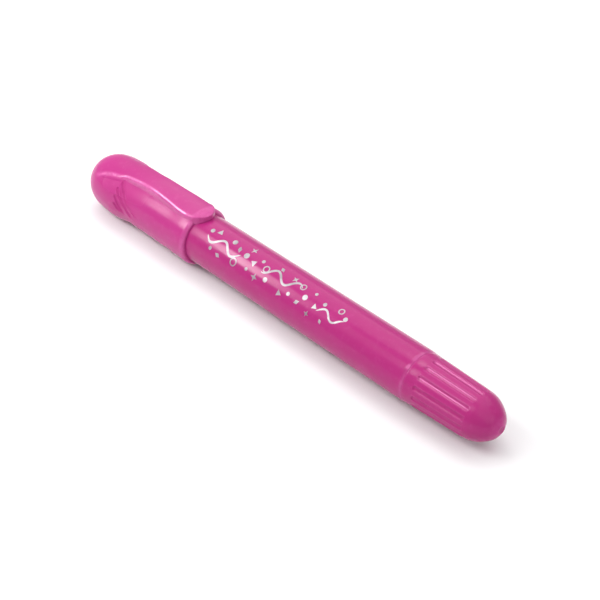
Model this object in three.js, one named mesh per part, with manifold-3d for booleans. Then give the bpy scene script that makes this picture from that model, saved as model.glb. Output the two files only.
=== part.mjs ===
// Twist-up face paint stick: a capped barrel whose tail knob turns a coarse screw that feeds a stick of paint.
// Units are millimetres, +Z up. The stick lies along X: cap at -X, knob at +X, the cap's tongue on top.
// The origin is at the middle of the footprint, on the surface that the flat under the cap rests on.
import * as THREE from "three";
import { mergeVertices } from "three/addons/utils/BufferGeometryUtils.js";
import Module from "manifold-3d";

const wasm = await Module();
wasm.setup();

// ---------- driving dimensions (stations are measured from the cap's nose along the axis) ----------
const LENGTH = 146.1; // nose of the cap to the end of the knob
const BULB_R = 8.26; // widest radius of the cap's nose
const SIDES = 32; // facets round the stick
const AXIS_Z = 7.72; // height of the stick's axis over the narrow flat under the cap, which stops it rolling

const CAP_END = 44.55; // mouth face of the cap
const CAP_BORE_R = 6.25;
const LIP_R = 7.95;
const LIP_ROUND = 1.15; // rounding of the lip's outer edge

const LINER_R = 5.95;
const LINER_BORE_R = 5.35;
const LINER_END = 32.9;

const BARREL_START = 44.85;
const BARREL_END = 121.3;
const BARREL_R = 6.8;
const BARREL_BORE_R = 5.55;

const NOZZLE_START = 29.5;
const NOZZLE_R = 5.0;
const NECK_START = 33.6;
const NECK_R = 5.85;
const NECK_BEAD_R = 6.05;
const STEM_R = 5.2;
const SLEEVE_BORE_R = 4.55;
const SLEEVE_END = 98.0;
const SLOT_START = 62.0;
const SLOT_WIDTH = 1.9;

const KNOB_START = 121.6;
const KNOB_FLUTES = 15;
const FLUTE_START = 124.4;
const FLUTE_END = 139.9;
const FLUTE_DEPTH = 0.34;
const FLUTE_PHASE = 19.3; // degrees from the top towards -Y, middle of one flute
const SPIGOT_START = 113.3;
const SPIGOT_R = 5.2;
const SPIGOT_BORE_R = 4.0;
const SPIGOT_BORE_END = 132.0;
const TIP_FLAT_R = 1.2; // flat disc left by the moulding gate at the knob's end

const LEAD = 5.0; // paint feed per turn of the knob
const SCREW_STARTS = 2;
const SCREW_START = 86.0;
const SCREW_R = 2.0;
const SCREW_CORE_R = 1.4;
const THREAD_GAP = 0.3;
const NUT_START = 110.6;
const NUT_END = 116.2;
const NUT_R = 2.9;

const PUSHER_START = 79.8;
const PUSHER_END = 116.4;
const PUSHER_R = 3.65;
const PUSHER_BORE_R = 2.4;
const KEY_START = 90.0;
const KEY_LENGTH = 4.0;
const KEY_R = 4.95;
const KEY_WIDTH = 1.3;

const CUP_START = 71.0;
const CUP_END = 79.5;
const CUP_R = 4.25;
const CUP_BORE_R = 3.75;
const CUP_STEM_R = 2.1;

const PAINT_TIP = 31.0;
const PAINT_R = 4.2;
const PAINT_ROOT_R = 3.42;
const PAINT_END = 77.5;

// ---------- helpers ----------
const x = (station) => station - LENGTH / 2;

// A closed geometry as a solid: shared corners merged, collapsed faces dropped.
function solid(geometry) {
  const bare = new THREE.BufferGeometry();
  const source = geometry.index ? geometry.toNonIndexed() : geometry;
  bare.setAttribute("position", source.getAttribute("position").clone());
  const merged = mergeVertices(bare, 1e-4);
  const index = merged.index.array;
  const kept = [];
  for (let i = 0; i < index.length; i += 3) {
    const [a, b, c] = [index[i], index[i + 1], index[i + 2]];
    if (a !== b && b !== c && a !== c) kept.push(a, b, c);
  }
  const made = new wasm.Manifold(
    new wasm.Mesh({
      numProp: 3,
      vertProperties: new Float32Array(merged.attributes.position.array),
      triVerts: new Uint32Array(kept),
    }),
  );
  return made;
}

// A surface of revolution about the stick's axis from [station, radius] pairs, ordered so that its faces point out.
// Flats lie at the stated radius: the corners stand a little further out.
function turned(profile, sides = SIDES, snug = true) {
  const k = snug ? 1 / Math.cos(Math.PI / sides) : 1;
  const points = profile.map(([s, r]) => new THREE.Vector2(r * k, x(s)));
  const g = new THREE.LatheGeometry(points, sides);
  g.rotateY(Math.PI / sides);
  g.rotateZ(-Math.PI / 2);
  const made = solid(g);
  return made.volume() < 0 ? turned(profile.slice().reverse(), sides, snug) : made;
}

// A skin through rings of equal length, closed at both ends by a fan to the ring's middle.
function lofted(rings) {
  const n = rings[0].length;
  const flat = [];
  const tri = (a, b, c) => flat.push(...a, ...b, ...c);
  for (let i = 0; i + 1 < rings.length; i++)
    for (let j = 0; j < n; j++) {
      const k = (j + 1) % n;
      tri(rings[i][j], rings[i + 1][j], rings[i + 1][k]);
      tri(rings[i][j], rings[i + 1][k], rings[i][k]);
    }
  const middle = (ring) => [0, 1, 2].map((d) => ring.reduce((t, p) => t + p[d], 0) / n);
  const first = rings[0],
    last = rings[rings.length - 1];
  const m0 = middle(first),
    m1 = middle(last);
  for (let j = 0; j < n; j++) {
    const k = (j + 1) % n;
    tri(m0, first[j], first[k]);
    tri(m1, last[k], last[j]);
  }
  const g = new THREE.BufferGeometry();
  g.setAttribute("position", new THREE.BufferAttribute(new Float32Array(flat), 3));
  const made = solid(g);
  return made.volume() < 0 ? lofted(rings.map((r) => r.slice().reverse())) : made;
}

function box(s0, s1, y0, y1, z0, z1) {
  const g = new THREE.BoxGeometry(s1 - s0, y1 - y0, z1 - z0);
  g.translate(x((s0 + s1) / 2), (y0 + y1) / 2, (z0 + z1) / 2);
  return solid(g);
}

function mesh(name, manifold, material) {
  const m = manifold.getMesh();
  const v = new Float32Array(m.numVert * 3);
  for (let i = 0; i < m.numVert; i++)
    v.set(m.vertProperties.subarray(i * m.numProp, i * m.numProp + 3), i * 3);
  const g = new THREE.BufferGeometry();
  g.setAttribute("position", new THREE.BufferAttribute(v, 3));
  g.setIndex(new THREE.BufferAttribute(new Uint32Array(m.triVerts), 1));
  g.computeVertexNormals();
  const made = new THREE.Mesh(g, material);
  made.name = name;
  return made;
}

// Straight-line interpolation of [key, value] pairs.
function at(pairs, s) {
  if (s <= pairs[0][0]) return pairs[0][1];
  for (let i = 1; i < pairs.length; i++)
    if (s <= pairs[i][0]) {
      const [a, u] = pairs[i - 1],
        [b, v] = pairs[i];
      return u + ((v - u) * (s - a)) / (b - a);
    }
  return pairs[pairs.length - 1][1];
}

// ---------- materials ----------
const plastic = (color, roughness) =>
  new THREE.MeshStandardMaterial({ color, roughness, metalness: 0 });
const capPink = plastic(0xd4549c, 0.28);
const barrelPink = plastic(0xc43f89, 0.3);
const sleeveWhite = plastic(0xf1eeee, 0.4);
const linerWhite = plastic(0xe9e6e4, 0.55);
const screwWhite = plastic(0xe4e2dc, 0.45);
const rubber = plastic(0x2b2b2d, 0.8);
const paint = plastic(0xd03a8a, 0.55);

// ---------- cap shell ----------
const CAP_OUTLINE = [
  [0, 0],
  [0.12, 1.4],
  [0.6, 2.98],
  [1.6, 4.6],
  [3.2, 6.12],
  [5, 7.14],
  [7, 7.78],
  [9.5, 8.12],
  [13.2, BULB_R],
  [15, 8.15],
  [16.5, 7.95],
  [18, 7.73],
  [20.2, 7.6],
  [28, 7.655],
  [36, 7.73],
  [CAP_END - LIP_ROUND - 0.8, LIP_R],
  [CAP_END - LIP_ROUND, LIP_R],
  [CAP_END - LIP_ROUND * 0.45, LIP_R - 0.2],
  [CAP_END - LIP_ROUND * 0.12, LIP_R - 0.6],
  [CAP_END, LIP_R - LIP_ROUND],
  [CAP_END, 0],
];
const CAP_CAVITY = [
  [1.5, 0],
  [1.7, 1.85],
  [2.5, 3.7],
  [4.0, 5.2],
  [6.0, 6.0],
  [8.6, CAP_BORE_R],
  [CAP_END - 0.5, CAP_BORE_R],
  [CAP_END + 0.1, CAP_BORE_R + 0.35],
  [CAP_END + 1, CAP_BORE_R + 0.35],
  [CAP_END + 1, 0],
];
// Half width and edge height of the tongue's top along the cap, heights above the axis.
const TONGUE_HALF_WIDTH = [
  [9.5, 5.3],
  [12, 5.15],
  [15, 4.79],
  [17, 4.12],
  [19, 3.88],
  [21, 3.72],
  [24, 3.56],
  [27, 3.59],
  [30, 3.66],
  [33, 3.8],
  [36, 4.0],
  [38.5, 4.14],
  [41, 4.15],
  [43, 3.85],
  [44.5, 3.35],
  [45.6, 2.6],
  [46.4, 1.8],
  [46.85, 1.0],
  [47, 0.35],
];
const TONGUE_EDGE_Z = [
  [9.5, 6.0],
  [12, 6.5],
  [15, 7.07],
  [17, 7.78],
  [19, 8.04],
  [21, 8.2],
  [24, 8.42],
  [27, 8.56],
  [30, 8.5],
  [33, 8.36],
  [36, 8.19],
  [38.5, 8.03],
  [41, 7.96],
  [43, 8.02],
  [44.5, 8.12],
  [45.6, 8.2],
  [46.4, 8.22],
  [46.85, 8.2],
  [47, 8.15],
];
const TONGUE_CROWN = 0.55; // how far the middle of the top stands above its edges
function tongue() {
  const rings = TONGUE_HALF_WIDTH.map(([s, w]) => {
    const z = AXIS_Z + at(TONGUE_EDGE_Z, s);
    const base = AXIS_Z + (s > 44 ? 7.1 : 4.5);
    const crown = TONGUE_CROWN * Math.min(1, (w / 3.6) ** 2) + (s < 16 ? 0.25 : 0);
    return [
      [x(s), -w, base],
      [x(s), w, base],
      [x(s), w, z],
      [x(s), w * 0.6, z + crown * 0.64],
      [x(s), 0, z + crown],
      [x(s), -w * 0.6, z + crown * 0.64],
      [x(s), -w, z],
    ];
  });
  return lofted(rings);
}
const lift = (m) => m.translate([0, 0, AXIS_Z]);
const overBarrel = lift(
  turned([
    [CAP_END, 0],
    [CAP_END, 7.12],
    [CAP_END + 5, 7.12],
    [CAP_END + 5, 0],
  ]),
);
const capShell = lift(turned(CAP_OUTLINE))
  .add(tongue())
  .subtract(lift(turned(CAP_CAVITY, SIDES)))
  .subtract(overBarrel)
  .subtract(box(-1, CAP_END + 1, -BULB_R, BULB_R, -3, 0));

// ---------- cap liner ----------
const capLiner = turned(
  [
    [1.9, 0],
    [2.1, 1.6],
    [2.95, 3.4],
    [4.4, 4.85],
    [6.4, 5.65],
    [9.2, LINER_R],
    [LINER_END, LINER_R],
    [LINER_END, LINER_BORE_R],
    [9.8, LINER_BORE_R],
    [7.1, 5.0],
    [5.1, 4.25],
    [3.7, 2.9],
    [2.95, 1.4],
    [2.75, 0],
  ],
  24,
  false,
);

// ---------- front sleeve: nozzle, neck, stem with two slots ----------
let frontSleeve = turned(
  [
    [NOZZLE_START, SLEEVE_BORE_R],
    [NOZZLE_START, NOZZLE_R - 0.25],
    [NOZZLE_START + 0.3, NOZZLE_R],
    [NECK_START - 0.4, NOZZLE_R],
    [NECK_START, NECK_R - 0.35],
    [NECK_START + 0.4, NECK_R],
    [39.4, NECK_R],
    [39.8, NECK_BEAD_R],
    [40.4, NECK_BEAD_R],
    [40.8, NECK_R],
    [CAP_END, NECK_R],
    [CAP_END, STEM_R],
    [SLEEVE_END, STEM_R],
    [SLEEVE_END, SLEEVE_BORE_R],
    [NOZZLE_START, SLEEVE_BORE_R],
  ],
  SIDES,
  false,
);
frontSleeve = frontSleeve.subtract(
  box(SLOT_START, SLEEVE_END + 1, -6, 6, -SLOT_WIDTH / 2, SLOT_WIDTH / 2),
);

// ---------- barrel ----------
const RING_GROOVE = [115.9, 117.3];
const barrel = turned([
  [BARREL_START, BARREL_BORE_R],
  [BARREL_START, BARREL_R - 0.3],
  [BARREL_START + 0.3, BARREL_R],
  [BARREL_END - 0.3, BARREL_R],
  [BARREL_END, BARREL_R - 0.3],
  [BARREL_END, BARREL_BORE_R],
  [RING_GROOVE[1], BARREL_BORE_R],
  [RING_GROOVE[1], 6.1],
  [RING_GROOVE[0], 6.1],
  [RING_GROOVE[0], BARREL_BORE_R],
  [BARREL_START, BARREL_BORE_R],
]);

// ---------- knob ----------
const KNOB_OUTLINE = [
  [KNOB_START, 6.35],
  [KNOB_START + 0.15, 6.55],
  [KNOB_START + 0.55, 6.67],
  [FLUTE_START, 6.56],
  [FLUTE_START + 0.7, 6.53],
  [FLUTE_START + 2.2, 6.47],
  [132, 6.34],
  [FLUTE_END - 2.2, 6.17],
  [FLUTE_END - 0.7, 6.05],
  [FLUTE_END, 5.95],
  [141.2, 5.66],
  [142.3, 5.17],
  [143.4, 4.45],
  [144.4, 3.5],
  [145.2, 2.45],
  [145.8, 1.6],
  [LENGTH, TIP_FLAT_R],
];
function flutedHead() {
  const sides = KNOB_FLUTES * 4;
  const phase = THREE.MathUtils.degToRad(FLUTE_PHASE);
  const rings = KNOB_OUTLINE.map(([s, r], i) => {
    const ring = [];
    const full = s >= FLUTE_START + 0.6 && s <= FLUTE_END - 0.6;
    const depth = full ? FLUTE_DEPTH * (s < FLUTE_START + 1 || s > FLUTE_END - 1 ? 0.6 : 1) : 0;
    for (let j = 0; j < sides; j++) {
      const a = phase + (j * 2 * Math.PI) / sides;
      const cut = depth * [1, 0.25, 0, 0.25][j % 4];
      const rr = r - cut;
      ring.push([x(s), -rr * Math.sin(a), rr * Math.cos(a)]);
    }
    return ring;
  });
  return lofted(rings);
}
const spigot = turned([
  [SPIGOT_START, 0],
  [SPIGOT_START, 4.9],
  [SPIGOT_START + 0.4, SPIGOT_R],
  [RING_GROOVE[0], SPIGOT_R],
  [RING_GROOVE[0], 4.72],
  [RING_GROOVE[1], 4.72],
  [RING_GROOVE[1], SPIGOT_R],
  [118.5, SPIGOT_R],
  [118.5, 4.35],
  [120.1, 4.35],
  [120.1, SPIGOT_R],
  [123, SPIGOT_R],
  [123, 0],
], SIDES, false);
const knobCavity = turned([
  [SPIGOT_START - 1, 0],
  [SPIGOT_START - 1, SPIGOT_BORE_R],
  [SPIGOT_BORE_END, SPIGOT_BORE_R],
  [SPIGOT_BORE_END + 0.6, 2.5],
  [140.0, 2.2],
  [140.6, 0],
], 24);
const twistKnob = flutedHead().add(spigot).subtract(knobCavity);

// ---------- rings ----------
const retainingRing = turned(
  [
    [116.2, 4.95],
    [116.2, 5.85],
    [117.0, 5.85],
    [117.0, 4.95],
    [116.2, 4.95],
  ],
  24,
  false,
).subtract(box(115, 118, -7, -3, -1.4, 1.4));
const oRing = [];
for (let i = 0; i <= 8; i++) {
  const a = (i * Math.PI) / 4;
  oRing.push([119.3 + 0.4 * Math.cos(a), 5 + 0.4 * Math.sin(a)]);
}
oRing[8] = oRing[0];
const frictionRing = turned(oRing, 24, false);

// ---------- lead screw ----------
// Section of the screw at one station: lobes that wind left-handed, so a clockwise turn seen from the knob feeds forward.
function twisted(s0, s1, inner, outer, points, starts, step) {
  const count = Math.ceil(((s1 - s0) / LEAD) * 360 / step);
  const rings = [];
  for (let i = 0; i <= count; i++) {
    const s = s0 + ((s1 - s0) * i) / count;
    const turn = (-2 * Math.PI * (s - SCREW_START)) / LEAD;
    const ring = [];
    for (let j = 0; j < points; j++) {
      const a = (j * 2 * Math.PI) / points;
      const lobe = j % (points / starts);
      const r = lobe === 0 ? outer : lobe === 1 || lobe === points / starts - 1 ? outer - 0.06 : inner;
      ring.push([x(s), r * Math.cos(a + turn), r * Math.sin(a + turn)]);
    }
    rings.push(ring);
  }
  return lofted(rings);
}
const screwPlug = turned(
  [
    [118.4, 0],
    [118.4, 3.3],
    [118.8, 3.7],
    [131.2, 3.7],
    [131.6, 3.3],
    [131.6, 0],
  ],
  12,
  false,
);
const leadScrew = twisted(SCREW_START, 119.2, SCREW_CORE_R, SCREW_R, 12, SCREW_STARTS, 30).add(screwPlug);

// ---------- drive nut ----------
const driveNut = turned(
  [
    [NUT_START, 0],
    [NUT_START, NUT_R],
    [NUT_END, NUT_R],
    [NUT_END, 0],
  ],
  16,
  false,
).subtract(
  twisted(NUT_START - 0.5, NUT_END + 0.5, SCREW_CORE_R + THREAD_GAP, SCREW_R + THREAD_GAP + 0.05, 12, SCREW_STARTS, 30),
);

// ---------- pusher tube ----------
const pusherTube = turned(
  [
    [PUSHER_START, PUSHER_BORE_R],
    [PUSHER_START, PUSHER_R],
    [PUSHER_END, PUSHER_R],
    [PUSHER_END, NUT_R + 0.2],
    [NUT_START - 0.3, NUT_R + 0.2],
    [NUT_START - 0.3, PUSHER_BORE_R],
    [PUSHER_START, PUSHER_BORE_R],
  ],
  24,
)
  .add(box(KEY_START, KEY_START + KEY_LENGTH, 3.1, KEY_R, -KEY_WIDTH / 2, KEY_WIDTH / 2))
  .add(box(KEY_START, KEY_START + KEY_LENGTH, -KEY_R, -3.1, -KEY_WIDTH / 2, KEY_WIDTH / 2));

// ---------- paint cup ----------
const paintCup = turned(
  [
    [CUP_START, CUP_BORE_R],
    [CUP_START, CUP_R],
    [CUP_END, CUP_R],
    [CUP_END, CUP_STEM_R],
    [84.6, CUP_STEM_R],
    [85.0, CUP_STEM_R - 0.4],
    [85.0, 0],
    [77.9, 0],
    [77.9, CUP_BORE_R],
    [CUP_START, CUP_BORE_R],
  ],
  24,
  false,
);

// ---------- paint ----------
const paintStick = turned(
  [
    [PAINT_TIP, 0],
    [PAINT_TIP + 0.12, 1.2],
    [PAINT_TIP + 0.6, 2.4],
    [PAINT_TIP + 1.6, 3.4],
    [PAINT_TIP + 3.0, 3.95],
    [PAINT_TIP + 4.6, PAINT_R],
    [70.2, PAINT_R],
    [70.7, PAINT_ROOT_R],
    [PAINT_END, PAINT_ROOT_R],
    [PAINT_END, 0],
  ],
  24,
  false,
);

// ---------- assembly ----------
const stick = new THREE.Group();

const cap = new THREE.Group();
cap.add(mesh("cap_shell", capShell, capPink));

// Everything turned about the stick's axis hangs in groups raised to the axis.
const capInside = new THREE.Group();
capInside.position.z = AXIS_Z;
capInside.add(mesh("cap_liner", capLiner, linerWhite));
cap.add(capInside);

const body = new THREE.Group();
body.position.z = AXIS_Z;
body.add(
  mesh("barrel", barrel, barrelPink),
  mesh("front_sleeve", frontSleeve, sleeveWhite),
  mesh("retaining_ring", retainingRing, screwWhite),
);

const tail = new THREE.Group();
tail.position.z = AXIS_Z;
tail.add(
  mesh("twist_knob", twistKnob, barrelPink),
  mesh("lead_screw", leadScrew, screwWhite),
  mesh("friction_ring", frictionRing, rubber),
);

const feed = new THREE.Group();
feed.position.z = AXIS_Z;
feed.add(
  mesh("drive_nut", driveNut, screwWhite),
  mesh("pusher_tube", pusherTube, sleeveWhite),
  mesh("paint_cup", paintCup, sleeveWhite),
  mesh("paint_stick", paintStick, paint),
);

stick.add(cap, body, tail, feed);
export default stick;
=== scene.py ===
import math

import bmesh
import bpy
import numpy as np
from mathutils import Matrix, Vector

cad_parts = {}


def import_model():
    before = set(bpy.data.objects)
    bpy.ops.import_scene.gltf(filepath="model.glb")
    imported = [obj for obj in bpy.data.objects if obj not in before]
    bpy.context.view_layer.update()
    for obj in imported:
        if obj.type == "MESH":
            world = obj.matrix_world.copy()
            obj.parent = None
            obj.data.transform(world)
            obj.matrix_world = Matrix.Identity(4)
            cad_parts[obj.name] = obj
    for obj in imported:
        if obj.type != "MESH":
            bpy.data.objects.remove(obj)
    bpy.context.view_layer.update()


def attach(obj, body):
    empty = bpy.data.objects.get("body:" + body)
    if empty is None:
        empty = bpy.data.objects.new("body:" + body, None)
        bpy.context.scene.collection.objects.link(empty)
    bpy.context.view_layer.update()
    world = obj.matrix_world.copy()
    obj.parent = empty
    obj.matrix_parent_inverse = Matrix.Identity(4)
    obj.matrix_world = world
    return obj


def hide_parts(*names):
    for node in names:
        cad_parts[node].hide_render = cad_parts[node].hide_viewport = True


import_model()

# Shapes are worked out in millimetres: a station s along the axis from the cap's nose, y across and z above the axis.
LENGTH = 146.1
AXIS_Z = 7.72


def world(points):
    p = np.asarray(points, float).reshape(-1, 3)
    return np.column_stack([p[:, 0] - LENGTH / 2, p[:, 1], p[:, 2] + AXIS_Z]) / 1000.0


# ---------- curves ----------
def curve(pairs):
    """A smooth function through [key, value] pairs that never overshoots between them."""
    xs = np.array([p[0] for p in pairs], float)
    ys = np.array([p[1] for p in pairs], float)
    h = np.diff(xs)
    d = np.diff(ys) / h
    m = np.zeros(len(xs))
    for i in range(1, len(xs) - 1):
        if d[i - 1] * d[i] > 0:
            w1, w2 = 2 * h[i] + h[i - 1], h[i] + 2 * h[i - 1]
            m[i] = (w1 + w2) / (w1 / d[i - 1] + w2 / d[i])
    m[0], m[-1] = d[0], d[-1]

    def f(x):
        x = np.asarray(x, float)
        i = np.clip(np.searchsorted(xs, x, side="right") - 1, 0, len(xs) - 2)
        t = (np.clip(x, xs[0], xs[-1]) - xs[i]) / h[i]
        return (
            (1 + 2 * t) * (1 - t) ** 2 * ys[i]
            + t * (1 - t) ** 2 * h[i] * m[i]
            + t * t * (3 - 2 * t) * ys[i + 1]
            + t * t * (t - 1) * h[i] * m[i + 1]
        )

    return f


def ease(a, b, x):
    t = np.clip((np.asarray(x, float) - a) / (b - a), 0, 1)
    return t * t * (3 - 2 * t)


def rounded(profile, steps=5):
    """[station, radius, rounding] corners of an outline as a polyline with its corners rounded."""
    out = []
    n = len(profile)
    for i, p in enumerate(profile):
        r = p[2] if len(p) > 2 else 0
        if r <= 0 or i in (0, n - 1):
            out.append((p[0], p[1]))
            continue
        here = np.array(p[:2], float)
        a = np.array(profile[i - 1][:2], float) - here
        b = np.array(profile[i + 1][:2], float) - here
        la, lb = np.linalg.norm(a), np.linalg.norm(b)
        cut = min(r, 0.45 * la, 0.45 * lb)
        p0, p2 = here + a / la * cut, here + b / lb * cut
        for k in range(steps + 1):
            t = k / steps
            q = (1 - t) ** 2 * p0 + 2 * t * (1 - t) * here + t * t * p2
            out.append((float(q[0]), float(q[1])))
    return out


# ---------- mesh making ----------
class Skin:
    def __init__(self):
        self.v, self.f = [], []

    def add(self, points):
        first = len(self.v)
        self.v.extend([tuple(map(float, p)) for p in points])
        return list(range(first, len(self.v)))

    def strip(self, a, b, closed=True):
        n = len(a)
        for j in range(n if closed else n - 1):
            k = (j + 1) % n
            face = [a[j], a[k], b[k], b[j]]
            kept = [q for i, q in enumerate(face) if q != face[i - 1]]
            if len(set(kept)) >= 3:
                self.f.append(kept)

    def fan(self, centre, ring, closed=True):
        n = len(ring)
        for j in range(n if closed else n - 1):
            self.f.append([centre, ring[j], ring[(j + 1) % n]])


def finish_mesh(name, points, faces, material, sharp=40.0):
    mesh = bpy.data.meshes.new(name)
    bm = bmesh.new()
    verts = [bm.verts.new(p) for p in points]
    for f in faces:
        try:
            bm.faces.new([verts[i] for i in f])
        except ValueError:
            pass
    bmesh.ops.delete(bm, geom=[v for v in bm.verts if not v.link_faces], context="VERTS")
    bmesh.ops.recalc_face_normals(bm, faces=bm.faces)
    if bm.calc_volume(signed=True) < 0:
        bmesh.ops.reverse_faces(bm, faces=bm.faces)
    open_edges = sum(1 for e in bm.edges if len(e.link_faces) != 2)
    bm.to_mesh(mesh)
    bm.free()
    mesh.polygons.foreach_set("use_smooth", [True] * len(mesh.polygons))
    mesh.set_sharp_from_angle(angle=math.radians(sharp))
    mesh.materials.append(material)
    print("mesh", name, len(mesh.vertices), "points", len(mesh.polygons), "faces", open_edges, "open edges")
    return mesh


def piece(name, skin, body, material, nodes=(), sharp=40.0):
    mesh = finish_mesh(name, world(skin.v).tolist(), skin.f, material, sharp)
    obj = bpy.data.objects.new(name, mesh)
    bpy.context.scene.collection.objects.link(obj)
    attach(obj, body)
    if nodes:
        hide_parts(*nodes)
    return obj


def circle(s, r, sides, turn=0.0):
    a = turn + np.arange(sides) * 2 * np.pi / sides
    return np.column_stack([np.full(sides, s), -r * np.sin(a), r * np.cos(a)])


def lathe(profile, sides, skin=None, wave=None):
    """A surface of revolution. A profile that starts or ends on the axis closes there; any other closes on itself."""
    skin = skin or Skin()
    rings = []
    for s, r in profile:
        if r < 1e-6:
            rings.append(skin.add([(s, 0, 0)]))
        else:
            ring = circle(s, r, sides)
            if wave is not None:
                ring = wave(ring)
            rings.append(skin.add(ring))
    if profile[0][1] > 1e-6 and profile[-1][1] > 1e-6:
        rings.append(rings[0])
    for a, b in zip(rings, rings[1:]):
        if len(a) == 1 and len(b) == 1:
            continue
        if len(a) == 1:
            skin.fan(a[0], b)
        elif len(b) == 1:
            skin.fan(b[0], a)
        else:
            skin.strip(a, b)
    return skin


def cut(obj, cutter):
    """obj without the cutter's volume, as a plain mesh."""
    m = obj.modifiers.new("cut", "BOOLEAN")
    m.operation = "DIFFERENCE"
    m.solver = "EXACT"
    m.object = cutter
    apply(obj, cutter)


def join(obj, other):
    m = obj.modifiers.new("join", "BOOLEAN")
    m.operation = "UNION"
    m.solver = "EXACT"
    m.object = other
    apply(obj, other)


def apply(obj, helper):
    bpy.context.view_layer.update()
    dg = bpy.context.evaluated_depsgraph_get()
    new = bpy.data.meshes.new_from_object(obj.evaluated_get(dg), depsgraph=dg)
    old = obj.data
    obj.modifiers.clear()
    obj.data = new
    new.name = old.name
    bpy.data.meshes.remove(old)
    bpy.data.objects.remove(helper)
    new.polygons.foreach_set("use_smooth", [True] * len(new.polygons))
    new.set_sharp_from_angle(angle=math.radians(32))


def block(s0, s1, y0, y1, z0, z1, bevel=0.0):
    """A helper block with slightly rounded edges for cuts and joins."""
    bm = bmesh.new()
    bmesh.ops.create_cube(bm, size=1.0)
    for v in bm.verts:
        v.co = Vector(
            (
                ((s0 + s1) / 2 + v.co.x * (s1 - s0) - LENGTH / 2) / 1000,
                ((y0 + y1) / 2 + v.co.y * (y1 - y0)) / 1000,
                ((z0 + z1) / 2 + v.co.z * (z1 - z0) + AXIS_Z) / 1000,
            )
        )
    if bevel:
        bmesh.ops.bevel(bm, geom=list(bm.edges), offset=bevel / 1000, segments=3, profile=0.5, affect="EDGES")
    mesh = bpy.data.meshes.new("helper")
    bm.to_mesh(mesh)
    bm.free()
    obj = bpy.data.objects.new("helper", mesh)
    bpy.context.scene.collection.objects.link(obj)
    return obj


def mask(obj, name, weight):
    """Stores a weight from 0 to 1 at each point (how worn, polished or dull it is, or how much painted highlight it
    carries), as a function of (s, y, z) in mm.
    """
    mesh = obj.data
    co = np.zeros(len(mesh.vertices) * 3, np.float32)
    mesh.vertices.foreach_get("co", co)
    co = co.reshape(-1, 3).astype(float) * 1000
    s, y, z = co[:, 0] + LENGTH / 2, co[:, 1], co[:, 2] - AXIS_Z
    value = np.clip(weight(s, y, z), 0, 1).astype(np.float32)
    attribute = mesh.attributes.new(name, "FLOAT", "POINT")
    attribute.data.foreach_set("value", value)


# ---------- materials ----------
def new_material(name):
    m = bpy.data.materials.new(name)
    m.use_nodes = True
    nt = m.node_tree
    for n in list(nt.nodes):
        nt.nodes.remove(n)
    out = nt.nodes.new("ShaderNodeOutputMaterial")
    shader = nt.nodes.new("ShaderNodeBsdfPrincipled")
    nt.links.new(shader.outputs["BSDF"], out.inputs["Surface"])
    coords = nt.nodes.new("ShaderNodeTexCoord")
    return m, nt, shader, coords


def noise(nt, coords, scale, detail=2.0, rough=0.5, stretch=None):
    vector = coords.outputs["Object"]
    if stretch:
        mapping = nt.nodes.new("ShaderNodeMapping")
        mapping.inputs["Scale"].default_value = stretch
        nt.links.new(vector, mapping.inputs["Vector"])
        vector = mapping.outputs["Vector"]
    n = nt.nodes.new("ShaderNodeTexNoise")
    n.inputs["Scale"].default_value = scale
    n.inputs["Detail"].default_value = detail
    n.inputs["Roughness"].default_value = rough
    nt.links.new(vector, n.inputs["Vector"])
    return n.outputs["Fac"]


def ranged(nt, value, a, b, c, d, smooth=False):
    m = nt.nodes.new("ShaderNodeMapRange")
    m.interpolation_type = "SMOOTHSTEP" if smooth else "LINEAR"
    m.inputs["From Min"].default_value = a
    m.inputs["From Max"].default_value = b
    m.inputs["To Min"].default_value = c
    m.inputs["To Max"].default_value = d
    nt.links.new(value, m.inputs["Value"])
    return m.outputs["Result"]


def maths(nt, operation, a, b):
    m = nt.nodes.new("ShaderNodeMath")
    m.operation = operation
    for i, v in enumerate((a, b)):
        if isinstance(v, (int, float)):
            m.inputs[i].default_value = v
        else:
            nt.links.new(v, m.inputs[i])
    return m.outputs["Value"]


def mixed(nt, factor, a, b):
    m = nt.nodes.new("ShaderNodeMix")
    m.data_type = "RGBA"
    if isinstance(factor, (int, float)):
        m.inputs[0].default_value = factor
    else:
        nt.links.new(factor, m.inputs[0])
    for i, v in ((6, a), (7, b)):
        if isinstance(v, tuple):
            m.inputs[i].default_value = (*v, 1.0)
        else:
            nt.links.new(v, m.inputs[i])
    return m.outputs[2]


def bumped(nt, shader, layers):
    """layers: (height, strength, distance in metres), fine ones last."""
    normal = None
    for height, strength, distance in layers:
        b = nt.nodes.new("ShaderNodeBump")
        b.inputs["Strength"].default_value = strength
        b.inputs["Distance"].default_value = distance
        nt.links.new(height, b.inputs["Height"])
        if normal is not None:
            nt.links.new(normal, b.inputs["Normal"])
        normal = b.outputs["Normal"]
    nt.links.new(normal, shader.inputs["Normal"])


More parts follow.
